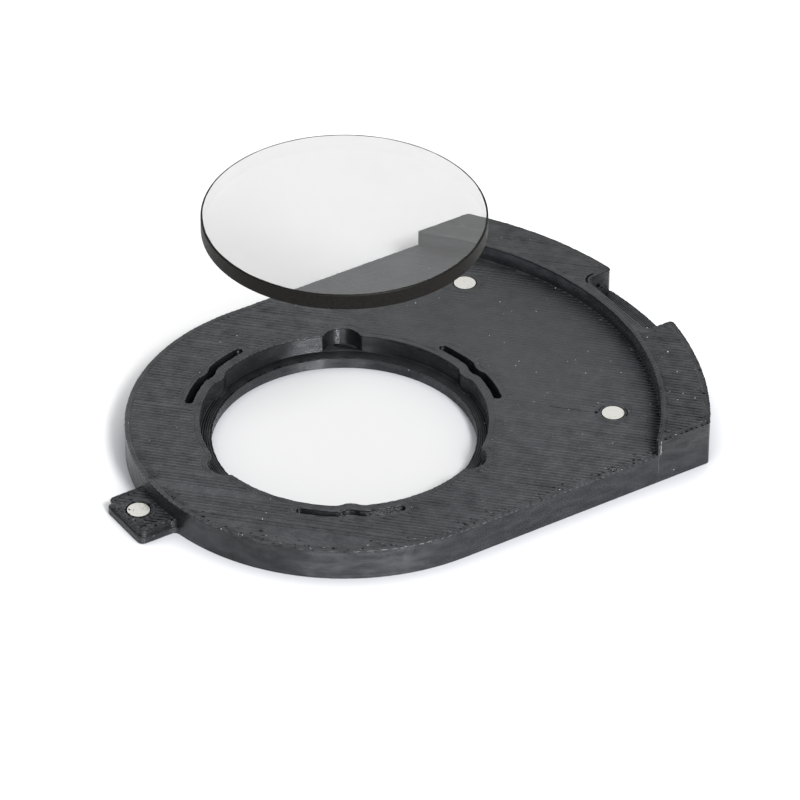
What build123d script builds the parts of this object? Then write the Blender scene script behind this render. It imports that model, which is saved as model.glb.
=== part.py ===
from build123d import *
import math
import os

# A slide-in holder for one loose round optical filter: a D-shaped plate with a
# round pocket, a raised arc at its wide end, a small pull tab at its nose and
# three disc magnets, and the filter itself lifted out above its pocket.
# Frame: origin at the aperture's centre on the plate's bottom face, +X towards
# the raised arc, +Y across the plate, +Z up.

# Driving dimensions, in millimetres

filter_diameter = 50.0
filter_thickness = 3.0
filter_chamfer = 0.15
black_edge_thickness = 0.25
filter_lift = 44.5

deck_height = 5.85
rim_height = 8.85
half_width = 39.05
outer_radius = 64.95
plate_corner_radius = 0.9
top_edge_radius = 0.15

rim_inner_radius = 54.55
rim_inner_centre_x = 2.1
rim_tip_radius = 0.4
rim_overlap = 0.5

notch_wall_x = 58.4
notch_half_width = 9.6
notch_floor_height = 3.9
notch_inner_radius = 1.6
notch_outer_radius = 0.8

pocket_clearance = 0.8
ledge_width = 1.2
ledge_height = 2.4
seat_gap = 0.05

finger_angles = (0, 118.4, 240)
finger_half_angle = 18.2
finger_wall = 1.65
slot_width = 1.55
grip_clearance = 0.05
slot_dip_depth = 0.6
dip_radius = 3.0
dip_blend_radius = 2.6

scallop_angles = (58.6, 180, 300)
scallop_radius = 3.6
scallop_centre_inset = 1.35
scallop_corner_radius = 0.5

magnet_diameter = 4.0
magnet_thickness = 2.0
deck_magnet_x = 41.45
deck_magnet_y = 24.05
deck_magnet_hole_radius = 2.2
tab_magnet_x = -42.65
tab_magnet_hole_radius = 2.3

tab_height = 2.8
tab_end_x = -45.5
tab_half_width = 5.6
tab_corner_radius = 1.1
tab_root_radius = 1.0
tab_foot_height = 1.2
tab_foot_overhang = 0.3
tab_root_depth = 3.0

# Sizes that follow from them

filter_radius = filter_diameter / 2
pocket_radius = filter_radius + pocket_clearance
aperture_radius = filter_radius - ledge_width
grip_depth = pocket_clearance - grip_clearance
slot_inner_radius = pocket_radius + finger_wall
slot_outer_radius = slot_inner_radius + slot_width
magnet_radius = magnet_diameter / 2
seated_filter_z = ledge_height + seat_gap
lifted_filter_z = seated_filter_z + filter_lift


def on_circle(radius, angle):
    """The point at this radius and angle, in degrees, about the aperture's axis."""
    turn = math.radians(angle)
    return (radius * math.cos(turn), radius * math.sin(turn))


def arc_about(centre, radius, start_angle, end_angle):
    """An arc about a centre, drawn from one angle to another, in degrees."""
    middle_angle = (start_angle + end_angle) / 2
    corners = []
    for angle in (start_angle, middle_angle, end_angle):
        offset = on_circle(radius, angle)
        corners.append((centre[0] + offset[0], centre[1] + offset[1]))
    return ThreePointArc(*corners)


def angle_towards(start, end):
    """The direction from one point to another, in degrees."""
    return math.degrees(math.atan2(end[1] - start[1], end[0] - start[0]))


def dipped_arc(radius, depth, half_angle):
    """An arc about the aperture's axis, centred on +X, that dips inwards at its
    middle: two plain stretches, two blends and the dip, all tangent."""
    dip_distance = radius - depth + dip_radius
    blend_distance = radius - dip_blend_radius
    reach = dip_radius + dip_blend_radius
    cosine = (dip_distance**2 + blend_distance**2 - reach**2) / (2 * dip_distance * blend_distance)
    blend_angle = math.degrees(math.acos(cosine))
    dip_centre = (dip_distance, 0)
    blend_centre = on_circle(blend_distance, blend_angle)
    mirrored_blend_centre = (blend_centre[0], -blend_centre[1])
    lean = angle_towards(dip_centre, blend_centre)
    return [
        arc_about((0, 0), radius, -half_angle, -blend_angle),
        arc_about(mirrored_blend_centre, dip_blend_radius, -blend_angle, 180 - lean),
        arc_about(dip_centre, dip_radius, 360 - lean, lean),
        arc_about(blend_centre, dip_blend_radius, lean - 180, blend_angle),
        arc_about((0, 0), radius, blend_angle, half_angle),
    ]


def grip_nub():
    """The material between the pocket's circle and the dip of one finger."""
    back_radius = pocket_radius + finger_wall / 2
    edges = dipped_arc(pocket_radius, grip_depth, finger_half_angle)
    edges.append(Line(on_circle(pocket_radius, finger_half_angle), on_circle(back_radius, finger_half_angle)))
    edges.append(arc_about((0, 0), back_radius, finger_half_angle, -finger_half_angle))
    edges.append(Line(on_circle(back_radius, -finger_half_angle), on_circle(pocket_radius, -finger_half_angle)))
    return make_face(edges)


def finger_slot():
    """The slot that frees one gripping finger, with round ends and a shallower dip."""
    middle_radius = (slot_inner_radius + slot_outer_radius) / 2
    upper_end = on_circle(middle_radius, finger_half_angle)
    lower_end = on_circle(middle_radius, -finger_half_angle)
    edges = dipped_arc(slot_inner_radius, slot_dip_depth, finger_half_angle)
    edges += dipped_arc(slot_outer_radius, slot_dip_depth, finger_half_angle)
    edges.append(arc_about(upper_end, slot_width / 2, finger_half_angle + 180, finger_half_angle))
    edges.append(arc_about(lower_end, slot_width / 2, -finger_half_angle - 180, -finger_half_angle))
    return make_face(edges)


def plate_outline():
    """The D-shaped outline: round nose, two straight sides and the wide arc."""
    corner_x = math.sqrt(outer_radius**2 - half_width**2)
    nose = ThreePointArc((0, half_width), (-half_width, 0), (0, -half_width))
    right_side = Line((0, -half_width), (corner_x, -half_width))
    wide_arc = ThreePointArc((corner_x, -half_width), (outer_radius, 0), (corner_x, half_width))
    left_side = Line((corner_x, half_width), (0, half_width))
    outline = make_face([nose, right_side, wide_arc, left_side])
    corners = outline.vertices().sort_by(Axis.X)[-2:]
    return fillet(corners, plate_corner_radius)


def soft_extrude(outline, height):
    """Extrudes an outline and rounds its top edges, as a print's last layer leaves them."""
    solid = extrude(outline, height)
    return soften_top(solid)


def soften_top(solid):
    """Rounds every edge of a solid's highest face."""
    top = solid.faces().sort_by(Axis.Z)[-1]
    return fillet(top.edges(), top_edge_radius)


def rim_circle(radius):
    """A circle about the centre of the rim's inner wall."""
    return Pos(rim_inner_centre_x, 0) * Circle(radius)


def rim_outline():
    """The raised arc at the wide end, as seen from above."""
    rim = plate_outline() - rim_circle(rim_inner_radius)
    tips = rim.vertices().sort_by(Axis.X)[:2]
    return fillet(tips, rim_tip_radius)


def notch_cutter():
    """The finger notch cut into the raised arc from outside, with round inner corners."""
    depth = outer_radius - notch_wall_x
    outline = Pos(notch_wall_x + depth, 0) * Rectangle(2 * depth, 2 * notch_half_width)
    inner_corners = outline.vertices().sort_by(Axis.X)[:2]
    outline = fillet(inner_corners, notch_inner_radius)
    return Pos(0, 0, notch_floor_height) * extrude(outline, rim_height)


def is_scallop_corner(vertex):
    """Whether a corner of the pocket is where its circle meets a scallop."""
    on_pocket_circle = abs(math.hypot(vertex.X, vertex.Y) - pocket_radius) < 0.01
    return on_pocket_circle and abs(vertex.Y) > 0.01


def pocket_outline():
    """The filter's pocket: a circle with three finger scallops and three grip nubs."""
    pocket = Sketch() + Circle(pocket_radius)
    for angle in scallop_angles:
        place = Rot(0, 0, angle) * Pos(pocket_radius - scallop_centre_inset, 0)
        pocket += place * Circle(scallop_radius)
    corners = pocket.vertices().filter_by(is_scallop_corner)
    pocket = fillet(corners, scallop_corner_radius)
    for angle in finger_angles:
        pocket -= Rot(0, 0, angle) * grip_nub()
    return pocket


def tab_outline(overhang):
    """The pull tab as seen from above, blended into the nose and rooted inside it."""
    length = -tab_end_x + overhang
    plate = Pos(-length / 2, 0) * Rectangle(length, 2 * (tab_half_width + overhang))
    plate = fillet(plate.vertices().sort_by(Axis.X)[:2], tab_corner_radius)
    outline = plate + Circle(half_width)
    roots = outline.vertices().filter_by(lambda v: abs(v.Y) < tab_half_width + 1)
    roots = roots.sort_by(Axis.X)[-2:]
    outline = fillet(roots, tab_root_radius)
    kept_length = length - half_width + tab_root_depth
    return outline & Pos(-length, 0) * Rectangle(2 * kept_length, 4 * tab_half_width)


def pull_tab():
    """The tab, whose lowest layers spread a little."""
    foot = extrude(tab_outline(tab_foot_overhang), tab_foot_height)
    return foot + soft_extrude(tab_outline(0), tab_height)


def magnet_places():
    """Each magnet's name, the centre of its top face and its hole's radius."""
    return {
        "deck_magnet_left": ((deck_magnet_x, deck_magnet_y, deck_height), deck_magnet_hole_radius),
        "deck_magnet_right": ((deck_magnet_x, -deck_magnet_y, deck_height), deck_magnet_hole_radius),
        "tab_magnet": ((tab_magnet_x, 0, tab_height), tab_magnet_hole_radius),
    }


def downward_disc(top_centre, radius, thickness):
    """A disc that hangs down from the centre of its top face."""
    x, y, z = top_centre
    return Pos(x, y, z - thickness) * extrude(Circle(radius), thickness)


def deck():
    """The flat plate up to the rim, reaching a little way into it."""
    outline = plate_outline() & rim_circle(rim_inner_radius + rim_overlap)
    return soft_extrude(outline, deck_height)


def rim():
    """The raised arc down to the bottom face, with its finger notch."""
    arc = extrude(rim_outline(), rim_height) - notch_cutter()
    corners = arc.edges().filter_by(Axis.Z)
    corners = corners.filter_by_position(Axis.Y, -notch_half_width, notch_half_width)
    arc = fillet(corners.sort_by(Axis.X)[-2:], notch_outer_radius)
    return soften_top(arc)


def holder_body():
    """The printed plate, in one piece with its rim, fingers and tab."""
    body = deck() + rim() + pull_tab()
    pocket_depth = deck_height - ledge_height
    body -= Pos(0, 0, ledge_height) * extrude(pocket_outline(), pocket_depth)
    body -= extrude(Circle(aperture_radius), deck_height)
    for angle in finger_angles:
        body -= Rot(0, 0, angle) * Pos(0, 0, ledge_height) * extrude(finger_slot(), pocket_depth)
    for top_centre, hole_radius in magnet_places().values():
        body -= downward_disc(top_centre, hole_radius, magnet_thickness)
    return soften_openings(body)


def soften_openings(body):
    """Rounds the top edges of the pocket, the slots and the magnet holes."""
    edges = ShapeList()
    for height in (deck_height, tab_height):
        level = body.faces().filter_by(Axis.Z)
        level = level.filter_by_position(Axis.Z, height - 0.01, height + 0.01)
        for wire in level.sort_by(SortBy.AREA)[-1].inner_wires():
            edges += wire.edges()
    return fillet(edges, top_edge_radius)


def filter_disc():
    """The whole filter, edge blackening included, with its ground edges."""
    disc = extrude(Circle(filter_radius), filter_thickness)
    disc = chamfer(disc.edges(), filter_chamfer)
    return Pos(0, 0, lifted_filter_z) * disc


def filter_core():
    """The clear glass inside the blackened edge."""
    core = extrude(Circle(filter_radius - black_edge_thickness), filter_thickness)
    return Pos(0, 0, lifted_filter_z) * core


def build_parts():
    """Every node's solid, by name."""
    parts = {"holder_body": holder_body()}
    for name, (top_centre, hole_radius) in magnet_places().items():
        parts[name] = downward_disc(top_centre, magnet_radius, magnet_thickness)
    parts["filter_glass"] = filter_core()
    parts["filter_black_edge"] = filter_disc() - filter_core()
    return parts


def main():
    os.makedirs("parts", exist_ok=True)
    for name, shape in build_parts().items():
        export_step(shape, f"parts/{name}.step")


main()
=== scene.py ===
import math

import bpy
import numpy as np
from mathutils import Matrix, Vector
from mathutils.kdtree import KDTree


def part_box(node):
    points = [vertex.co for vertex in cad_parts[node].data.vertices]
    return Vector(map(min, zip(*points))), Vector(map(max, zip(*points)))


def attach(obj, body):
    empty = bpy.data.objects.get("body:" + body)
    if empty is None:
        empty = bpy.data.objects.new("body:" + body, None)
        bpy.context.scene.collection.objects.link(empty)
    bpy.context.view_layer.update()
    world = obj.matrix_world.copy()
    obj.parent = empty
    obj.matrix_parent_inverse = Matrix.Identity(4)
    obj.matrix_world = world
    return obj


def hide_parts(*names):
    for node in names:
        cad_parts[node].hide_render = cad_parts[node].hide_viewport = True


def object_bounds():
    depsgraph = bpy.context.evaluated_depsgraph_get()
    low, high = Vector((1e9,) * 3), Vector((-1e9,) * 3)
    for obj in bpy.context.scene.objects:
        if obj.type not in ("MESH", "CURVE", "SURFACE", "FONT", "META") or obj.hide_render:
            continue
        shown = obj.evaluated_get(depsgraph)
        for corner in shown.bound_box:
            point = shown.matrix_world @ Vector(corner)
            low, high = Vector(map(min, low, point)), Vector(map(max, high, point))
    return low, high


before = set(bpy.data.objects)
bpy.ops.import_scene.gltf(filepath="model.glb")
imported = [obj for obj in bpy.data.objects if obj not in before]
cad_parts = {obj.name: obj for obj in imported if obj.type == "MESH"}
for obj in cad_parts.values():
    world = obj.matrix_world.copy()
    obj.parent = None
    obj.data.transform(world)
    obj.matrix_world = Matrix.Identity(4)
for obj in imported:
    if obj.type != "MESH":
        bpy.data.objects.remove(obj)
CAD_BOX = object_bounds()
MM = 0.001

# --- The print, in metres -------------------------------------------------------------------------
ROAD_WIDTH = 0.403 * MM          # one extruded line; neighbours touch
ROAD_CREST = 0.034 * MM          # how far a line's crown stands over the flat
ROAD_FOOT = 0.030 * MM           # how far its sides go under the flat
ROAD_TILT = 0.026 * MM           # the side laid last rides up on its neighbour
LAYER_HEIGHT = 0.2 * MM
EDGE_ROUND = 0.15 * MM           # the rounding on the frame's top edges
WALL_CLEARANCE = 0.2 * MM        # the infill stops this far from a wall
OUTLINE_STEP = 0.2 * MM          # between the points of a line that follows an edge
BRIDGED_GAP = 0.65 * MM          # a line that follows an edge crosses gaps up to this
INFILL_STEP = 1.6 * MM           # between the points of an infill line
TEST_STEP = 0.12 * MM            # between the places where an infill line's clearance is tested
SHORTEST_SPAN = 0.25 * MM        # an infill line shorter than this is left out
WAY_SHEEN_TONE = 0.3                   # painted sheen: lines laid one way are painted paler and glossier than those laid the other way
INFILL_ANGLE = math.radians(-45)
ALONG_INFILL = np.array([math.cos(INFILL_ANGLE), math.sin(INFILL_ANGLE)])
ACROSS_INFILL = np.array([-ALONG_INFILL[1], ALONG_INFILL[0]])
SMOOTH_MIDDLE = (0.036, 0.006)   # the place on the deck where the lines stand out least

GRID = 1e7                       # corners are matched on a grid of 0.1 micrometre
LEVEL_SLACK = 20                 # how far apart two heights that count as one may be, in GRID steps


# --- Flats of the printed body --------------------------------------------------------------------
def level_heights(node, smallest):
    """The heights of a node's level, upward faces whose joined area is at least smallest."""
    areas = {}
    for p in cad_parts[node].data.polygons:
        if p.normal.z > 0.999:
            height = round(p.center.z / (0.01 * MM)) * 0.01 * MM
            areas[height] = areas.get(height, 0.0) + p.area
    return sorted(h for h, area in areas.items() if area >= smallest)


def flat_outlines(node, height):
    """The closed outlines of a node's level face at that height. Each is (points, rises): rises
    says for each point whether a wall goes up from the edge after it."""
    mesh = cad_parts[node].data
    keys = [tuple(round(c * GRID) for c in v.co) for v in mesh.vertices]
    level = round(height * GRID)
    owner, flats = {}, []
    for p in mesh.polygons:
        corners = [keys[i] for i in p.vertices]
        flat = p.normal.z > 0.99 and all(abs(c[2] - level) < LEVEL_SLACK for c in corners)
        highest = max(c[2] for c in corners)
        for a, b in zip(corners, corners[1:] + corners[:1]):
            owner[(a, b)] = (flat, highest)
        if flat:
            flats.append(corners)
    follow = {}
    for corners in flats:
        for a, b in zip(corners, corners[1:] + corners[:1]):
            flat, highest = owner.get((b, a), (False, level))
            if not flat:
                follow[a] = (b, highest > level + LEVEL_SLACK)
    outlines = []
    while follow:
        start = here = next(iter(follow))
        points, rises = [], []
        while here in follow:
            there, wall = follow.pop(here)
            points.append((here[0] / GRID, here[1] / GRID))
            rises.append(wall)
            here = there
        if here == start and len(points) > 2:
            outlines.append((np.array(points), np.array(rises)))
    return outlines


def evened(points, rises, step):
    """A closed outline with points about a step apart, each with its edge's rises."""
    ends = np.roll(points, -1, axis=0)
    lengths = np.hypot(*(ends - points).T)
    counts = np.maximum(1, np.round(lengths / step)).astype(int)
    out, flags = [], []
    for a, b, n, wall in zip(points, ends, counts, rises):
        for k in range(n):
            out.append(a + (b - a) * k / n)
            flags.append(wall)
    return np.array(out), np.array(flags)


def tree_of(points):
    tree = KDTree(len(points))
    for i, (x, y) in enumerate(points):
        tree.insert((x, y, 0), i)
    tree.balance()
    return tree


def distance(tree, x, y):
    return tree.find((x, y, 0))[2]


class Flat:
    """One level face: its height, tone and outlines, and trees that give the distance from its
    open edges and from the walls that go up from it."""

    def __init__(self, outlines, height, tone):
        self.height = height
        self.tone = tone
        self.outlines = outlines
        fine = [evened(p, r, 0.1 * MM) for p, r in outlines]
        points = np.concatenate([p for p, _ in fine])
        rises = np.concatenate([r for _, r in fine])
        far = np.array([[9.0, 9.0]])    # keeps a tree from being empty
        self.open_edge = tree_of(np.concatenate([points[~rises], far]))
        self.wall = tree_of(np.concatenate([points[rises], far]))


# --- Extruded lines -------------------------------------------------------------------------------
# A line's section: shares of its half width across, and of its crest or foot up.
PROFILE = [
    (-1.0, -1.0), (-0.72, 0.35), (-0.35, 0.9), (0.0, 1.0), (0.35, 0.9), (0.72, 0.35), (1.0, -1.0),
]
# The section of the line that runs along an edge, in mm: it bulges out over the wall.
EDGE_PROFILE = [
    (-0.17, -0.215), (-0.215, -0.16), (-0.225, -0.10), (-0.205, -0.035), (-0.155, 0.012),
    (-0.08, 0.034), (0.0, 0.036), (0.10, 0.028), (0.15, 0.010), (0.20, -0.030),
]


def relief(path):
    """How strongly the lines stand out at each point: 0.42 on the deck's smooth middle, to 12 mm
    from SMOOTH_MIDDLE, and 1.4 from 44 mm on."""
    out = np.hypot(path[:, 0] - SMOOTH_MIDDLE[0], path[:, 1] - SMOOTH_MIDDLE[1])
    return 0.42 + 0.98 * np.clip((out - 0.012) / 0.032, 0, 1)


class Roads:
    """Collects extruded lines as strips with a rounded section, and makes them one mesh."""

    def __init__(self, seed, rise=1.0):
        self.verts, self.faces, self.tones, self.count = [], [], [], 0
        self.random = np.random.default_rng(seed)
        self.rise = rise

    def add_edge(self, path, height, closed, tone):
        """A line with the edge section; the edge is on the path's right. It swells and pales with
        the beat of the infill's turns, which meet it from the other side, and is painted darker
        where it dips between them, as shade."""
        path = np.asarray(path, float)
        left = self.left_of(path, closed)
        n, m = len(path), len(EDGE_PROFILE)
        rings = np.empty((n, m, 3))
        phase = path @ ACROSS_INFILL * math.pi / ROAD_WIDTH + self.smooth_noise(n) * 0.5
        beat = np.cos(phase) * relief(path) * self.rise
        wander = MM * (0.018 * self.smooth_noise(n) + 0.022 * beat)
        swell = 1 + 0.4 * np.clip(self.smooth_noise(n), -1.5, 1.5) - 0.5 * beat
        for j, (across, up) in enumerate(EDGE_PROFILE):
            rings[:, j, :2] = path + left * (across * MM + wander)[:, None]
            rings[:, j, 2] = height + up * MM * (swell * self.rise if up > 0 else 1)
        # painted shade: the line is darker where it dips between the turns
        self.strip(rings, closed, tone - 0.35 * beat)

    def smooth_noise(self, n):
        """n random numbers about 1 in size, each like its neighbours."""
        rough = self.random.standard_normal(n + 8)
        return np.convolve(rough, np.ones(5) / 5 ** 0.5, "same")[4:n + 4]

    def left_of(self, path, closed):
        """The unit direction to the left of the path at each point."""
        if closed:
            run = np.roll(path, -1, axis=0) - np.roll(path, 1, axis=0)
        else:
            run = np.gradient(path, axis=0)
        run /= np.maximum(np.hypot(*run.T), 1e-12)[:, None]
        return np.c_[-run[:, 1], run[:, 0]]

    def strip(self, rings, closed, tone):
        """Joins cross-sections into one skin and remembers its tone."""
        n, m = rings.shape[:2]
        base = self.count
        self.count += n * m
        self.verts.append(rings.reshape(-1, 3))
        self.tones.append(np.repeat(tone, m))
        for i in range(n if closed else n - 1):
            a, b = base + i * m, base + ((i + 1) % n) * m
            for j in range(m - 1):
                self.faces.append((a + j, b + j, b + j + 1, a + j + 1))

    def add(self, path, height, tone, closed=False,
            width=ROAD_WIDTH, crest=ROAD_CREST, tilt=ROAD_TILT):
        """A line with the rounded section, thinner at its ends unless it is closed. tone is one
        number or one for each point."""
        path = np.asarray(path, float)
        if len(path) < 3:
            return
        left = self.left_of(path, closed)
        n, m = len(path), len(PROFILE)
        depth = relief(path)
        swell = 1 + 0.12 * self.smooth_noise(n)
        crests = crest * swell * depth * self.rise
        widths = np.full(n, width / 2)
        if not closed:
            for i, share in ((0, 0.45), (-1, 0.45), (1, 0.9), (-2, 0.9)):
                widths[i] *= share
                crests[i] *= share
        rings = np.empty((n, m, 3))
        for j, (across, up) in enumerate(PROFILE):
            rings[:, j, :2] = path + left * (across * widths)[:, None]
            rise = crests * up if up > 0 else ROAD_FOOT * up * depth
            rings[:, j, 2] = height + rise + tilt * across * depth * self.rise
        self.strip(rings, closed, np.broadcast_to(np.asarray(tone, float), (n,)))

    def mesh_object(self, name):
        mesh = bpy.data.meshes.new(name)
        mesh.from_pydata(np.concatenate(self.verts).tolist(), [], self.faces)
        mesh.polygons.foreach_set("use_smooth", [True] * len(mesh.polygons))
        tone = mesh.attributes.new("tone", "FLOAT", "POINT")
        tone.data.foreach_set("value", np.concatenate(self.tones).astype(np.float32))
        mesh.update()
        if sum(p.normal.z for p in mesh.polygons) < 0:
            mesh.flip_normals()
        obj = bpy.data.objects.new(name, mesh)
        bpy.context.scene.collection.objects.link(obj)
        return obj


CRUMB_CLEARANCE = 0.3 * MM       # crumbs keep this far from edges and walls
CRUMB_TONES = [-0.6, 0.2, 0.9, 1.5]
CRUMB_TONE_SHARES = [0.3, 0.3, 0.3, 0.1]


def lay_crumbs(roads, flat, count):
    """Small blobs and torn bits in a band along the flat's outer edge, on the part's -Y side and
    round its end. count of them are tried; those outside or too near an edge are left out."""
    points, rises = max(flat.outlines, key=lambda o: np.ptp(o[0][:, 0]))
    points = evened(points, rises, 0.5 * MM)[0]
    front = points[points[:, 1] < -0.12 * points[:, 1].min()]
    random = roads.random
    for _ in range(count):
        x, y = front[random.integers(len(front))]
        depth = abs(random.normal(0.8, 0.8)) * MM
        inward = np.array([max(-x, 0.0), -y]) / max(math.hypot(min(x, 0.0), y), 1e-9)
        x += inward[0] * depth + random.normal(0, 0.3) * MM
        y += inward[1] * depth + random.normal(0, 0.3) * MM
        clear = min(distance(flat.open_edge, x, y), distance(flat.wall, x, y))
        if clear < CRUMB_CLEARANCE or not inside(points, x, y):
            continue
        turn = INFILL_ANGLE + random.normal(0, 0.5)
        length = random.uniform(0.15, 0.8) * MM
        way = np.array([math.cos(turn), math.sin(turn)])
        path = np.array([x, y]) + np.linspace(-0.5, 0.5, 5)[:, None] * length * way
        width = random.uniform(0.16, 0.42) * MM
        crest = random.uniform(0.04, 0.11) * MM
        tone = random.choice(CRUMB_TONES, p=CRUMB_TONE_SHARES)
        roads.add(path, flat.height + 0.02 * MM, tone, width=width, crest=crest, tilt=0)


def inside(outline, x, y):
    """Whether a point lies inside a closed outline."""
    x0, y0 = outline.T
    x1, y1 = np.roll(outline, -1, axis=0).T
    crossing = (y0 > y) != (y1 > y)
    cut = x0 + (y - y0) * (x1 - x0) / np.where(y1 == y0, 1e-12, y1 - y0)
    return np.count_nonzero(crossing & (cut > x)) % 2 == 1


def lay_outlines(roads, flat, loops):
    """Lines that follow the flat's open edges, side by side from the edge inwards."""
    for points, rises in flat.outlines:
        fine, wall = evened(points, rises, OUTLINE_STEP)
        run = np.roll(fine, -1, axis=0) - np.roll(fine, 1, axis=0)
        run /= np.hypot(*run.T)[:, None]
        inward = np.c_[-run[:, 1], run[:, 0]]
        for loop in range(loops):
            depth = ROAD_WIDTH * (loop + 0.5) - EDGE_ROUND
            shifted = fine + inward * depth
            kept = [
                not w and distance(flat.open_edge, x, y) > abs(depth) - 0.05 * MM
                and distance(flat.wall, x, y) > 0.15 * MM
                for (x, y), w in zip(shifted, wall)
            ]
            for path, closed in runs_of(shifted, kept, BRIDGED_GAP):
                tone = flat.tone + 0.1 * roads.random.standard_normal()
                if loop:
                    roads.add(path, flat.height, tone, closed, tilt=0)
                else:
                    roads.add_edge(path, flat.height, closed, tone)


def runs_of(points, kept, reach):
    """The stretches of a closed outline's kept points; a gap shorter than reach is bridged."""
    kept = np.array(kept)
    if not kept.any():
        return []
    order = np.flatnonzero(kept)
    chosen = points[order]
    gaps = np.hypot(*(np.roll(chosen, -1, axis=0) - chosen).T) > reach
    if not gaps.any():
        return [(chosen, True)]
    first = np.flatnonzero(gaps)[0] + 1
    chosen = np.roll(chosen, -first, axis=0)
    gaps = np.roll(gaps, -first)
    stretches, start = [], 0
    for end in np.flatnonzero(gaps):
        stretches.append((chosen[start:end + 1], False))
        start = end + 1
    return [s for s in stretches if len(s[0]) > 3]


def on_infill(s, t):
    """The point that is s across the infill lines and t along them."""
    return ACROSS_INFILL * s + ALONG_INFILL * t


def infill_spans(flat, margin):
    """For each infill line, the stretches (from, to) where it lies inside the flat, at least
    margin from its open edges."""
    starts = np.concatenate([outline[0] for outline in flat.outlines])
    ends = np.concatenate([np.roll(outline[0], -1, axis=0) for outline in flat.outlines])
    s0, s1 = starts @ ACROSS_INFILL, ends @ ACROSS_INFILL
    t0, t1 = starts @ ALONG_INFILL, ends @ ALONG_INFILL
    rows = {}
    for k in range(math.floor(s0.min() / ROAD_WIDTH), math.ceil(s0.max() / ROAD_WIDTH) + 1):
        s = (k + 0.5) * ROAD_WIDTH
        hit = (s0 - s) * (s1 - s) < 0
        cuts = np.sort(t0[hit] + (s - s0[hit]) / (s1[hit] - s0[hit]) * (t1[hit] - t0[hit]))
        spans = []
        for a, b in zip(cuts[::2], cuts[1::2]):
            ts = np.arange(a, b, TEST_STEP)
            clear = [
                distance(flat.open_edge, *on_infill(s, t)) > margin
                and distance(flat.wall, *on_infill(s, t)) > WALL_CLEARANCE
                for t in ts
            ]
            edges = np.flatnonzero(np.diff(np.concatenate([[False], clear, [False]]).astype(int)))
            ranges = [(ts[i], ts[j - 1]) for i, j in zip(edges[::2], edges[1::2])]
            spans += [(first, last) for first, last in ranges if last - first > SHORTEST_SPAN]
        rows[k] = spans
    return rows


def lay_infill(roads, flat, margin):
    """Zigzag lines that fill the flat: each turns back in a tight loop at the outlines."""
    rows = infill_spans(flat, margin)
    free = {(k, i) for k, spans in rows.items() for i in range(len(spans))}
    reach = 2.2 * ROAD_WIDTH         # how far along a turn may step to the next line's end
    for k0, i0 in sorted(free):
        if (k0, i0) not in free:
            continue
        k, i, forward, points, tones = k0, i0, True, [], []
        while True:
            free.discard((k, i))
            a, b = rows[k][i] if forward else rows[k][i][::-1]
            way = 1 if forward else -1
            ragged = float(np.clip(roads.random.standard_normal(), -1.5, 1.5))
            b += way * MM * (0.13 * ragged - 0.17)      # most lines turn a little early
            n = max(2, round(abs(b - a) / INFILL_STEP))
            s = (k + 0.5) * ROAD_WIDTH
            own = 0.09 * float(np.clip(roads.random.standard_normal(), -2, 2))
            # painted sheen: the way a line was laid makes it paler or darker
            tone = flat.tone + own + way * WAY_SHEEN_TONE
            for t in np.linspace(a, b, n + 1):
                points.append(on_infill(s, t))
                tones.append(tone)
            near = [
                (abs(rows[k + 1][j][1 if forward else 0] - b), j)
                for j in range(len(rows.get(k + 1, [])))
                if (k + 1, j) in free
            ]
            if not near or min(near)[0] > reach:
                break
            i = min(near)[1]
            k += 1
            there = rows[k][i][1 if forward else 0]
            for u in np.linspace(0, 1, 6)[1:-1]:
                w = (1 - math.cos(math.pi * u)) / 2
                t = b + (there - b) * w + way * ROAD_WIDTH / 2 * math.sin(math.pi * u)
                points.append(on_infill(s + ROAD_WIDTH * w, t))
                tones.append(tone)
            forward = not forward
        roads.add(points, flat.height, np.array(tones))


# --- Materials ------------------------------------------------------------------------------------
class Nodes:
    """A short way to write a material's node tree."""

    def __init__(self, name):
        self.material = bpy.data.materials.new(name)
        self.material.use_nodes = True
        self.tree = self.material.node_tree
        self.tree.nodes.clear()
        self.output = self.tree.nodes.new("ShaderNodeOutputMaterial")

    def node(self, kind, inputs=None, **settings):
        made = self.tree.nodes.new("ShaderNode" + kind)
        for key, value in settings.items():
            setattr(made, key, value)
        for key, value in (inputs or {}).items():
            self.feed(made.inputs[key], value)
        return made

    def feed(self, socket, value):
        if isinstance(value, bpy.types.NodeSocket):
            self.tree.links.new(value, socket)
        else:
            socket.default_value = value

    def maths(self, operation, *values, clamp=False):
        made = self.node("Math", dict(enumerate(values)), operation=operation, use_clamp=clamp)
        return made.outputs[0]

    def split(self, vector):
        """A vector's X, Y and Z outputs."""
        return self.node("SeparateXYZ", {"Vector": vector}).outputs

    def ramp(self, value, low, high, to_low=0.0, to_high=1.0):
        """to_low up to low and to_high from high on, with a smooth step between."""
        inputs = {
            "Value": value, "From Min": low, "From Max": high, "To Min": to_low, "To Max": to_high,
        }
        return self.node("MapRange", inputs, clamp=True, interpolation_type="SMOOTHSTEP").outputs[0]

    def mix(self, share, a, b):
        made = self.node("Mix", data_type="RGBA")
        for socket, value in zip((made.inputs[0], made.inputs[6], made.inputs[7]), (share, a, b)):
            self.feed(socket, value)
        return made.outputs[2]

    def noise(self, scale, detail=2.0, roughness=0.5, vector=None):
        inputs = {"Scale": scale, "Detail": detail, "Roughness": roughness}
        if vector is not None:
            inputs["Vector"] = vector
        return self.node("TexNoise", inputs).outputs["Fac"]

    def place(self):
        """Object coordinates, in metres. The printed body's are the shared frame's."""
        return self.node("TexCoord").outputs["Object"]

    def away(self, vector, middle):
        """The distance from a place given by its x and y, at height 0."""
        inputs = {0: vector, 1: (*middle, 0.0)}
        return self.node("VectorMath", inputs, operation="DISTANCE").outputs["Value"]

    def stretched(self, vector, x, y, z):
        return self.node("Mapping", {"Vector": vector, "Scale": (x, y, z)}).outputs[0]

    def finish(self, shader):
        self.tree.links.new(shader, self.output.inputs["Surface"])
        return self.material


def grey(value):
    return (value, value, value, 1.0)


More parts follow.
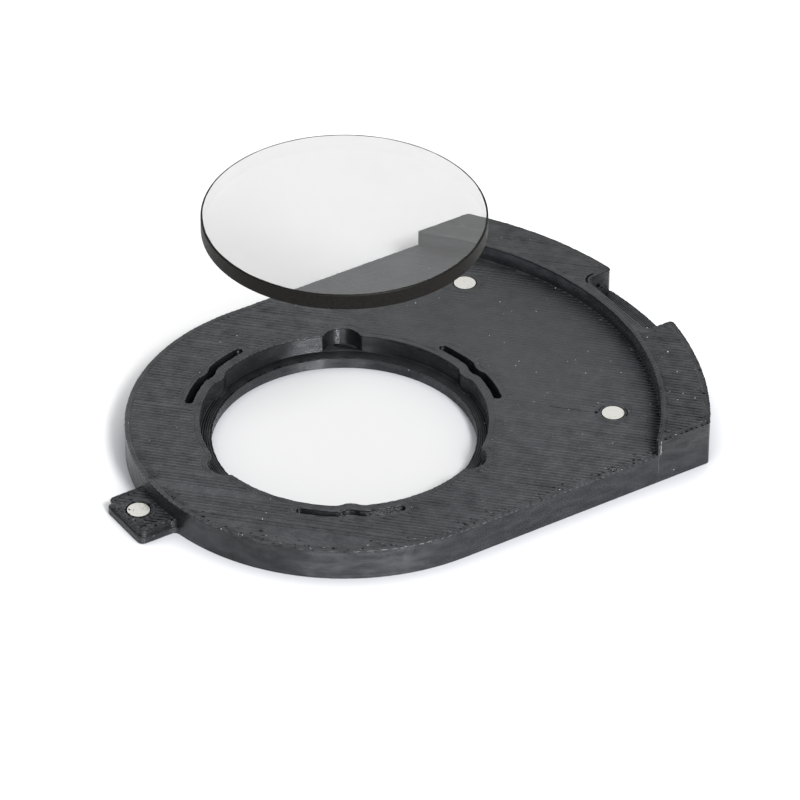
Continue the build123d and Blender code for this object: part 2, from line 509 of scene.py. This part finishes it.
PLASTIC_DARK = (0.0040, 0.0044, 0.0052, 1)
PLASTIC_LIGHT = (0.0135, 0.0148, 0.0172, 1)
WALL_DARK = (0.0022, 0.0025, 0.0031, 1)
WALL_LIGHT = (0.0085, 0.0094, 0.0110, 1)
RIM_INSIDE_PAINTED_SHEEN = (0.040, 0.043, 0.049, 1)        # painted sheen: the rim's inner wall, painted paler
PAINTED_GAP_SHADE = (0.003, 0.003, 0.0032, 1)      # painted shade: a level face, seen between the lines on it
PLASTIC_SHEEN = (0.91, 0.955, 1.0, 1)        # the tint of its reflections
PLASTIC_IOR = 1.54
BARE_PLASTIC = grey(0.30)                    # torn or stretched plastic, and nicks in the walls
DUST = grey(0.4)
PIT_SHADE_TONE = -2.5                              # painted shade: far darker than any line and nearly without gloss, for the shade in pits and grooves

NICKEL = (0.69, 0.68, 0.64, 1)
NICKEL_MARKED = (0.46, 0.45, 0.42, 1)
INK_DARK = (0.0045, 0.0041, 0.0036, 1)
INK_LIGHT = (0.0095, 0.0088, 0.0076, 1)

UNDER_APERTURE = grey(0.51)                  # the floor where the aperture's wall shades it
FLOOR_BY_OBJECT = (0.455, 0.462, 0.49, 1.0)  # the floor in the object's contact shadow


def plastic_colour(n, where, tone, dark, light):
    """Black plastic: a little lighter or darker in soft patches and from line to line."""
    patches = n.maths("MULTIPLY", n.ramp(n.noise(90.0, 3.0, 0.6, where), 0.3, 0.7), 0.45)
    share = n.maths("ADD", patches, n.maths("MULTIPLY", tone, 0.55), clamp=True)
    return n.mix(share, dark, light)


def specks(n, where, scale, size):
    """1 in small scattered dots, 0 elsewhere: dust and nicks."""
    cells = n.node("TexVoronoi", {"Vector": where, "Scale": scale, "Randomness": 1.0}, feature="F1")
    middle = {"Vector": cells.outputs["Position"]}
    pick = n.node("TexWhiteNoise", middle, noise_dimensions="3D").outputs["Value"]
    dot = n.maths("LESS_THAN", cells.outputs["Distance"], n.maths("MULTIPLY", pick, size))
    return n.maths("MULTIPLY", dot, n.maths("GREATER_THAN", pick, 0.72))


def plastic_shader(n, colour, rough, bump, gloss):
    inputs = {
        "Base Color": colour, "Roughness": rough, "IOR": PLASTIC_IOR, "Specular IOR Level": gloss,
        "Specular Tint": PLASTIC_SHEEN, "Normal": bump.outputs[0],
    }
    return n.finish(n.node("BsdfPrincipled", inputs).outputs[0])


def road_material():
    """The top of the print: each extruded line has its own tone, stronger in some patches than
    others, and painted shade darkens it beside walls."""
    n = Nodes("printed_plastic_lines")
    where = n.place()
    split = n.split(where)
    laid_tone = n.node("Attribute", attribute_name="tone").outputs["Fac"]
    contrast = n.ramp(n.away(where, SMOOTH_MIDDLE), 0.010, 0.042, 0.35, 1.8)
    tone = n.maths("MULTIPLY", n.maths("SUBTRACT", laid_tone, 0.5), contrast)
    tone = n.maths("ADD", tone, 0.5)

    # The gloss level: from the tone, a fine mottle and how open the place is. Where ambient
    # occlusion finds walls close by, the gloss is cut: painted shade.
    gloss = n.ramp(laid_tone, -1.0, -0.2, 0.10, 0.46)
    gloss = n.maths("ADD", gloss, n.maths("MULTIPLY", n.maths("SUBTRACT", tone, 0.5), 0.14))
    on_tab = n.ramp(split["X"], -38.6 * MM, -39.2 * MM)
    contrast = n.maths("ADD", contrast, n.maths("MULTIPLY", on_tab, 1.6))
    mottle = n.maths("SUBTRACT", n.noise(420.0, 4.0, 0.7, where), 0.5)
    mottle = n.maths("MULTIPLY", mottle, contrast)
    gloss = n.maths("ADD", gloss, n.maths("MULTIPLY", mottle, 0.62))
    openness = n.node("AmbientOcclusion", {"Distance": 7 * MM}, samples=8).outputs["AO"]
    darkest_at = n.ramp(split["Z"], 4.5 * MM, 5.5 * MM, 0.5, 0.68)   # the deck's painted shade is deeper
    gloss = n.maths("MULTIPLY", gloss, n.ramp(openness, darkest_at, 0.94, 0.05, 1.0))

    colour = plastic_colour(n, where, tone, PLASTIC_DARK, PLASTIC_LIGHT)
    colour = n.mix(n.ramp(laid_tone, 1.2, 2.6), colour, BARE_PLASTIC)
    dust = n.maths("MAXIMUM", specks(n, where, 330.0, 0.045), specks(n, where, 610.0, 0.05))
    near_rim = n.ramp(split["X"], 20 * MM, 45 * MM)
    fine_dust = n.maths("MULTIPLY", specks(n, where, 820.0, 0.085), near_rim)
    colour = n.mix(n.maths("MAXIMUM", dust, fine_dust), colour, DUST)
    rough = n.ramp(n.noise(700.0, 3.0, 0.6, where), 0.25, 0.75, 0.27, 0.46)
    rough = n.maths("ADD", rough, n.maths("MULTIPLY", tone, -0.05))
    grain = n.noise(4200.0, 3.0, 0.65, where)
    bump = n.node("Bump", {"Height": grain, "Strength": 0.6, "Distance": 0.02 * MM})
    return plastic_shader(n, colour, rough, bump, gloss)


def body_material():
    """Walls with their layer lines, and painted sheen that makes the rim's inner wall paler towards
    its top. The level faces under the extruded lines are painted near-black as the shade in the
    gaps, and the underside has the first layer's slanting lines."""
    n = Nodes("printed_plastic_walls")
    where = n.place()
    split = n.split(where)
    layer = n.maths("DIVIDE", split["Z"], LAYER_HEIGHT)
    count = {"W": n.maths("FLOOR", layer)}
    each = n.node("TexWhiteNoise", count, noise_dimensions="1D").outputs["Value"]
    streak = n.noise(1.0, 2.0, 0.5, n.stretched(where, 160.0, 160.0, 1.0 / (2 * LAYER_HEIGHT)))
    tone = n.maths("ADD", n.maths("MULTIPLY", each, 0.35), n.maths("MULTIPLY", streak, 0.5))
    colour = plastic_colour(n, where, tone, WALL_DARK, WALL_LIGHT)
    colour = n.mix(specks(n, where, 300.0, 0.05), colour, BARE_PLASTIC)
    normal = n.node("NewGeometry").outputs["Normal"]
    sheen_patches = n.noise(1.0, 3.0, 0.6, n.stretched(where, 260.0, 260.0, 700.0))
    facing = n.node("VectorMath", {0: normal, 1: where}, operation="DOT_PRODUCT").outputs["Value"]
    on_rim = n.ramp(facing, -31 * MM, -40 * MM)      # faces the middle from so far out
    pale = n.maths("MULTIPLY", on_rim, n.ramp(sheen_patches, 0.3, 0.7, 0.45, 1.0))
    pale = n.maths("MULTIPLY", pale, n.ramp(split["Z"], 6 * MM, 8 * MM, 0.1, 1.0))
    # painted sheen: the rim's inner wall is painted paler, in patches and more towards its top
    colour = n.mix(pale, colour, RIM_INSIDE_PAINTED_SHEEN)
    up = n.split(normal)["Z"]
    level = n.ramp(up, 0.93, 0.985)
    # painted shade: level faces are painted near-black, for the shade between the lines on them
    colour = n.mix(level, colour, PAINTED_GAP_SHADE)

    bed = n.ramp(up, -0.9, -0.985)                   # the underside
    wave = n.maths("SINE", n.maths("MULTIPLY", layer, 2 * math.pi))
    own = n.maths("SUBTRACT", each, 0.5)
    height = n.maths("ADD", n.maths("MULTIPLY", wave, 0.5), n.maths("MULTIPLY", own, 0.3))
    height = n.maths("MULTIPLY", height, n.maths("SUBTRACT", 1.0, bed))
    slanted = n.maths("ADD", split["X"], split["Y"])
    raster = n.maths("SINE", n.maths("MULTIPLY", slanted, math.pi * 2 ** 0.5 / ROAD_WIDTH))
    height = n.maths("ADD", height, n.maths("MULTIPLY", n.maths("MULTIPLY", raster, 0.12), bed))
    height = n.maths("ADD", height, n.maths("MULTIPLY", n.noise(1500.0, 2.0, 0.6, where), 0.10))
    bump = n.node("Bump", {"Height": height, "Strength": 1.0, "Distance": 0.050 * MM})
    rough = n.ramp(n.noise(500.0, 2.0, 0.5, where), 0.25, 0.75, 0.17, 0.27)
    rough = n.maths("ADD", rough, n.maths("MULTIPLY", level, 0.5))
    gloss = n.ramp(sheen_patches, 0.3, 0.7, 0.48, 0.90)
    gloss = n.maths("ADD", gloss, n.maths("MULTIPLY", own, 0.12))
    return plastic_shader(n, colour, rough, bump, gloss)


def magnet_material():
    """Nickel plating: satin, with fine scratches and a few dull marks."""
    n = Nodes("satin_nickel")
    where = n.place()
    marks = n.ramp(n.noise(900.0, 3.0, 0.6, where), 0.55, 0.75)
    scratch = n.noise(1.0, 3.0, 0.6, n.stretched(where, 9000.0, 900.0, 900.0))
    colour = n.mix(marks, NICKEL, NICKEL_MARKED)
    rough = n.maths("ADD", n.ramp(scratch, 0.3, 0.7, 0.22, 0.36), n.maths("MULTIPLY", marks, 0.15))
    bump = n.node("Bump", {"Height": scratch, "Strength": 0.25, "Distance": 0.01 * MM})
    inputs = {"Base Color": colour, "Metallic": 1.0, "Roughness": rough, "Normal": bump.outputs[0]}
    return n.finish(n.node("BsdfPrincipled", inputs).outputs[0])


def glass_material():
    """Coated filter glass: what is behind shows unbent and a little greyer, under a reflection
    on the side that faces out."""
    n = Nodes("coated_filter_glass")
    where = n.place()
    mottle = n.noise(60.0, 2.0, 0.5, where)
    dust = specks(n, where, 190.0, 0.04)
    tint = n.mix(n.ramp(mottle, 0.3, 0.7), grey(0.832), grey(0.822))
    tint = n.mix(dust, tint, grey(0.6))
    clear = n.node("BsdfTransparent", {"Color": tint})
    gloss = n.node("BsdfGlossy", {"Color": grey(0.97), "Roughness": 0.02})
    front = n.maths("SUBTRACT", 1.0, n.node("NewGeometry").outputs["Backfacing"])
    share = n.maths("MULTIPLY", n.node("Fresnel", {"IOR": 1.9}).outputs[0], front)
    mixed = n.node("MixShader", {0: share, 1: clear.outputs[0], 2: gloss.outputs[0]})
    return n.finish(mixed.outputs[0])


def ink_material():
    """The blackened rim of the filter: ground glass under black ink, warm and satin.
    The inside of the ring, seen through the glass, is left clear."""
    n = Nodes("edge_blackening")
    where = n.place()
    grain = n.noise(2500.0, 3.0, 0.6, where)
    colour = n.mix(n.ramp(grain, 0.3, 0.7), INK_DARK, INK_LIGHT)
    rough = n.ramp(grain, 0.3, 0.7, 0.38, 0.55)
    bump = n.node("Bump", {"Height": grain, "Strength": 0.4, "Distance": 0.01 * MM})
    inputs = {"Base Color": colour, "Roughness": rough, "IOR": 1.17, "Normal": bump.outputs[0]}
    ink = n.node("BsdfPrincipled", inputs)
    clear = n.node("BsdfTransparent", {"Color": grey(1.0)})
    inside = n.node("NewGeometry").outputs["Backfacing"]
    mixed = n.node("MixShader", {0: inside, 1: ink.outputs[0], 2: clear.outputs[0]})
    return n.finish(mixed.outputs[0])


def floor_material():
    """A pale floor with painted shade: greyer under the aperture and close to the object."""
    n = Nodes("studio_floor")
    where = n.place()
    soft = n.noise(6.0, 2.0, 0.5, where)
    colour = n.mix(n.ramp(soft, 0.3, 0.7), grey(0.68), grey(0.70))
    colour = n.mix(n.ramp(n.away(where, (0.0, 0.0)), 0.0245, 0.034), UNDER_APERTURE, colour)
    openness = n.node("AmbientOcclusion", {"Distance": 18 * MM}, samples=12).outputs["AO"]
    colour = n.mix(n.ramp(openness, 0.45, 1.0), FLOOR_BY_OBJECT, colour)
    return n.finish(n.node("BsdfDiffuse", {"Color": colour}).outputs[0])


# --- The filter -----------------------------------------------------------------------------------
def turned(name, centre, profile, radii_at, closed=False):
    """A surface of revolution about +Z through centre. profile is (radius, height) pairs;
    radii_at(turn, i, r) may move a ring's point in or out; closed puts a cap on both ends."""
    count = 288                      # points in each ring
    turns = np.linspace(0, 2 * math.pi, count, endpoint=False)
    verts, faces = [], []
    for i, (r, z) in enumerate(profile):
        for turn in turns:
            radius = radii_at(turn, i, r)
            x, y = centre.x + radius * math.cos(turn), centre.y + radius * math.sin(turn)
            verts.append((x, y, z))
    for i in range(len(profile) - 1):
        for k in range(count):
            a, b = i * count + k, i * count + (k + 1) % count
            faces.append((a, b, b + count, a + count))
    if closed:
        top = (len(profile) - 1) * count
        faces.append(tuple(range(count - 1, -1, -1)))
        faces.append(tuple(range(top, top + count)))
    mesh = bpy.data.meshes.new(name)
    mesh.from_pydata(verts, [], faces)
    mesh.update()
    obj = bpy.data.objects.new(name, mesh)
    bpy.context.scene.collection.objects.link(obj)
    return obj


def make_filter():
    """The clear disc and, round it, the blackened edge with its ground chamfers and an uneven
    border where the ink stops on both faces."""
    low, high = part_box("filter_black_edge")
    centre = (low + high) / 2
    outer = (high.x - low.x) / 2
    inner = (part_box("filter_glass")[1].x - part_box("filter_glass")[0].x) / 2
    grind = 0.15 * MM                # the ground chamfers
    lift = 0.004 * MM                # the ink's thickness on the faces
    under = low.z + 0.032 * MM       # the underside, clear of the lines on the ledge
    border = inner - 0.12 * MM       # how far in the ink laps over the faces
    disc_radius = inner - 0.01 * MM
    waves, unevenness = 9, 0.035 * MM
    phases = np.random.default_rng(7).uniform(0, 2 * math.pi, waves)
    section = [
        (border, under - lift), (outer - grind, under - lift), (outer, low.z + grind),
        (outer, high.z - grind), (outer - grind, high.z + lift), (border, high.z + lift),
    ]

    def uneven_border(turn, i, r):
        if i not in (0, len(section) - 1):
            return r
        turns = [(k + 2) * (2 + i) * turn + phases[k] for k in range(waves)]
        return r + unevenness * sum(math.sin(t) / (k + 2) for k, t in enumerate(turns))

    def plain(turn, i, r):
        return r

    ring = turned("inked_rim", centre, section, uneven_border)
    disc = turned(
        "clear_disc", centre, [(disc_radius, under), (disc_radius, high.z)], plain, closed=True,
    )
    dress(ring, ink_material())
    dress(disc, glass_material())
    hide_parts("filter_black_edge")
    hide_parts("filter_glass")
    for piece in (ring, disc):
        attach(piece, "filter")


def column(foot, top, width, seed, tone):
    """A knobbly upright bead, one knob for each printed layer: the seam where the loops start
    and end. The sections and a tone for each."""
    random = np.random.default_rng(seed)
    layers = max(2, round((top.z - foot.z) / LAYER_HEIGHT))
    rings, tones, sides = [], [], 10
    for k in range(layers):
        size = width * random.uniform(0.7, 1.25)
        middle = foot.lerp(top, (k + 0.5) / layers)
        dx, dy = random.normal(0, 0.02 * MM, 2)
        for part, share in ((0.05, 0.55), (0.3, 0.95), (0.7, 0.95), (0.95, 0.55)):
            z = middle.z + (part - 0.5) * (top.z - foot.z) / layers
            turns = np.linspace(0, 2 * math.pi, sides + 1)
            x = middle.x + dx + size * share * np.cos(turns)
            y = middle.y + dy + size * share * np.sin(turns)
            rings.append(np.c_[x, y, np.full(sides + 1, z)])
            tones.append(tone * random.uniform(0.5, 1.2))
    return np.array(rings), np.array(tones)


def lay_pit(roads, middle, half_long, half_short, half_out):
    """A lens-shaped dark spot of painted shade, standing for a pit in the print. middle and its
    half axes are in mm.
    """
    half_long, half_short, half_out = (np.array(v) * MM for v in (half_long, half_short, half_out))
    turns = np.linspace(0, 2 * math.pi, 13)[:, None]
    shares = np.linspace(-0.97, 0.97, 9)
    rings = []
    for share in shares:
        size = math.sqrt(1 - share * share)
        around = np.cos(turns) * half_short + np.sin(turns) * half_out
        rings.append(np.array(middle) * MM + share * half_long + size * around)
    roads.strip(np.array(rings), False, np.full(len(shares), PIT_SHADE_TONE))


def lay_groove(roads, points, height, width):
    """A thin dark line of painted shade on a level face, standing for the groove where two printed
    lines don't meet. points and width are in mm."""
    path = np.array(points) * MM
    roads.add(path, height + 0.03 * MM, PIT_SHADE_TONE, width=width * MM, crest=0.02 * MM, tilt=0)


def point_about(x, y, radius, turn):
    return x + radius * math.cos(math.radians(turn)), y + radius * math.sin(math.radians(turn))


def arc(x, y, radius, turns):
    """Points on a circle at those turns, in degrees."""
    return [point_about(x, y, radius, turn) for turn in turns]


RIM_TIP_X = 41.35 * MM           # where the seams stand on the rim's tips
SEAM_WIDTH = 0.13 * MM
SEAM_TONE = 2.2
NOTCH_WALL_Y = 9.62              # in mm, as the places in make_flaws are


def make_flaws(material):
    """Printing flaws: a seam on each tip of the rim, pits in the notch's wall and a groove beside
    it, and grooves, a pit and a scratch by a magnet. The pits, grooves and scratch are dark marks
    of painted shade."""
    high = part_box("holder_body")[1]
    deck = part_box("deck_magnet_left")[1].z
    roads = Roads(11)
    for side in (-1, 1):
        y = side * (high.y - 0.02 * MM)
        foot = Vector((RIM_TIP_X, y, deck + 0.05 * MM))
        top = Vector((RIM_TIP_X, y, high.z - 0.05 * MM))
        rings, tones = column(foot, top, SEAM_WIDTH, 5 + side, SEAM_TONE)
        roads.strip(rings[:, ::-1], False, tones)

    lay_pit(roads, (61.2, NOTCH_WALL_Y, 6.4), (0.42, 0, -0.16), (0.1, 0, 0.42), (0, 0.14, 0))
    lay_pit(roads, (62.0, NOTCH_WALL_Y, 5.6), (0.22, 0, -0.2), (0.08, 0, 0.1), (0, 0.10, 0))
    hook = [point_about(60.0, 8.0, 2.28 - 0.0024 * (turn - 74), turn) for turn in range(74, 176, 6)]
    lay_groove(roads, hook, high.z, 0.42)

    near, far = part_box("deck_magnet_right")
    x, y = ((near + far) / 2 / MM).xy
    lay_groove(roads, arc(x, y, 2.5, range(-62, 8, 7)), deck, 0.24)
    lay_groove(roads, arc(x, y, 2.55, range(96, 150, 9)), deck, 0.16)
    on_deck = deck / MM + 0.03
    lay_pit(roads, (x - 2.5, y + 1.7, on_deck), (0.3, -0.1, 0), (0.1, 0.3, 0), (0, 0, 0.03))
    scratch = [(x - 3.2 - 0.6 * k, y + 2.1 + 0.62 * k + 0.06 * (k % 2)) for k in range(10)]
    lay_groove(roads, scratch, deck, 0.13)
    flaws = roads.mesh_object("print_flaws")
    dress(flaws, material)
    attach(flaws, "holder")


def dress(obj, material):
    obj.data.materials.clear()
    obj.data.materials.append(material)


# --- Stage ----------------------------------------------------------------------------------------
CAMERA_AZIMUTH = math.radians(-33.044)
CAMERA_ELEVATION = math.radians(35.852)
CAMERA_ROLL = math.radians(0.404)
CAMERA_DISTANCE = 1.0748
CAMERA_AIM = Vector((10.888, -1.377, 6.619)) * MM
CAMERA_LENS = 271.06
SENSOR = 36.0


def make_camera():
    data = bpy.data.cameras.new("camera")
    data.sensor_width = SENSOR
    data.lens = CAMERA_LENS
    data.clip_start = 0.05
    data.clip_end = 20
    camera = bpy.data.objects.new("camera", data)
    bpy.context.scene.collection.objects.link(camera)
    level = math.cos(CAMERA_ELEVATION)
    back = Vector((
        math.sin(CAMERA_AZIMUTH) * level,
        -math.cos(CAMERA_AZIMUTH) * level,
        math.sin(CAMERA_ELEVATION),
    ))
    turn = (-back).to_track_quat("-Z", "Y").to_matrix().to_4x4()
    place = Matrix.Translation(CAMERA_AIM + back * CAMERA_DISTANCE)
    camera.matrix_world = place @ turn @ Matrix.Rotation(CAMERA_ROLL, 4, "Z")
    bpy.context.scene.camera = camera


def make_floor(half=4.0):
    mesh = bpy.data.meshes.new("floor")
    low = CAD_BOX[0].z
    corners = [(-half, -half, low), (half, -half, low), (half, half, low), (-half, half, low)]
    mesh.from_pydata(corners, [], [(0, 1, 2, 3)])
    floor = bpy.data.objects.new("floor", mesh)
    bpy.context.scene.collection.objects.link(floor)
    dress(floor, floor_material())


def make_light(name, place, target, size, power):
    data = bpy.data.lights.new(name, "AREA")
    data.shape = "SQUARE"
    data.size = size
    data.energy = power
    light = bpy.data.objects.new(name, data)
    bpy.context.scene.collection.objects.link(light)
    light.location = place
    light.rotation_mode = "QUATERNION"
    light.rotation_quaternion = (Vector(target) - Vector(place)).to_track_quat("-Z", "Y")


def make_world(strength, dim_sides):
    """A pale studio, dimmer towards some sides: (azimuth, share lost)."""
    world = bpy.data.worlds.new("studio")
    world.use_nodes = True
    tree = world.node_tree
    back = tree.nodes["Background"]
    back.inputs["Color"].default_value = (1, 1, 1, 1)
    where = tree.nodes.new("ShaderNodeTexCoord")
    level = strength
    for azimuth, lost in dim_sides:
        turn = math.radians(azimuth)
        along = tree.nodes.new("ShaderNodeVectorMath")
        along.operation = "DOT_PRODUCT"
        along.inputs[1].default_value = (math.cos(turn), math.sin(turn), 0)
        tree.links.new(where.outputs["Generated"], along.inputs[0])
        fade = tree.nodes.new("ShaderNodeMapRange")
        fade.interpolation_type = "SMOOTHSTEP"
        limits = {"From Min": 0.3, "From Max": 0.85, "To Min": 1.0, "To Max": 1.0 - lost}
        for key, value in limits.items():
            fade.inputs[key].default_value = value
        tree.links.new(along.outputs["Value"], fade.inputs["Value"])
        product = tree.nodes.new("ShaderNodeMath")
        product.operation = "MULTIPLY"
        tree.links.new(fade.outputs[0], product.inputs[0])
        if isinstance(level, float):
            product.inputs[1].default_value = level
        else:
            tree.links.new(level, product.inputs[1])
        level = product.outputs[0]
    tree.links.new(level, back.inputs["Strength"])
    bpy.context.scene.world = world


# --- Making ---------------------------------------------------------------------------------------
make_camera()
make_floor()
make_world(1.0, [(165, 0.85), (325, 0.4)])
make_light("overhead", (0.0, 0.1, 1.2), (0, 0, 0), 1.2, 5.0)
make_light("front_lamp", (0.0, -0.85, 0.85), (0, 0, 0), 0.3, 17.0)
make_light("front_fill", (-0.88, -1.12, 0.46), (0, 0, 0), 0.7, 5.0)
bpy.context.scene.view_settings.view_transform = "Standard"

lines = road_material()
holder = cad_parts["holder_body"]
dress(holder, body_material())
nickel = magnet_material()
for name in ("deck_magnet_left", "deck_magnet_right", "tab_magnet"):
    dress(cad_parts[name], nickel)
make_filter()
make_flaws(lines)

LEVELS = ("ledge", "tab_top", "notch_floor", "deck_top", "rim_top")    # from the lowest up
SMALLEST_LEVEL = 4e-5            # square metres
LOOPS = {"ledge": 5, "tab_top": 1, "notch_floor": 6, "deck_top": 2, "rim_top": 2}
# painted shade: the ledge and the notch floor, low between walls, get dark tones that lower their
# colour and gloss
TONES = {"ledge": -0.45, "tab_top": 0.1, "notch_floor": -0.45, "deck_top": 0.5, "rim_top": 0.0}
CRUMBS = {"rim_top": 60, "deck_top": 330, "tab_top": 44}
RISES = {"ledge": 0.3}           # the filter lies on the ledge, so its lines stay low
heights = level_heights("holder_body", SMALLEST_LEVEL)
for seed, (label, height) in enumerate(zip(LEVELS, heights, strict=True)):
    flat = Flat(flat_outlines("holder_body", height), height, TONES[label])
    roads = Roads(seed, RISES.get(label, 1.0))
    lay_outlines(roads, flat, LOOPS[label])
    lay_infill(roads, flat, ROAD_WIDTH * (LOOPS[label] + 0.85) - EDGE_ROUND)
    if label in CRUMBS:
        lay_crumbs(roads, flat, CRUMBS[label])
    skin = roads.mesh_object(label + "_lines")
    dress(skin, lines)
    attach(skin, "holder")
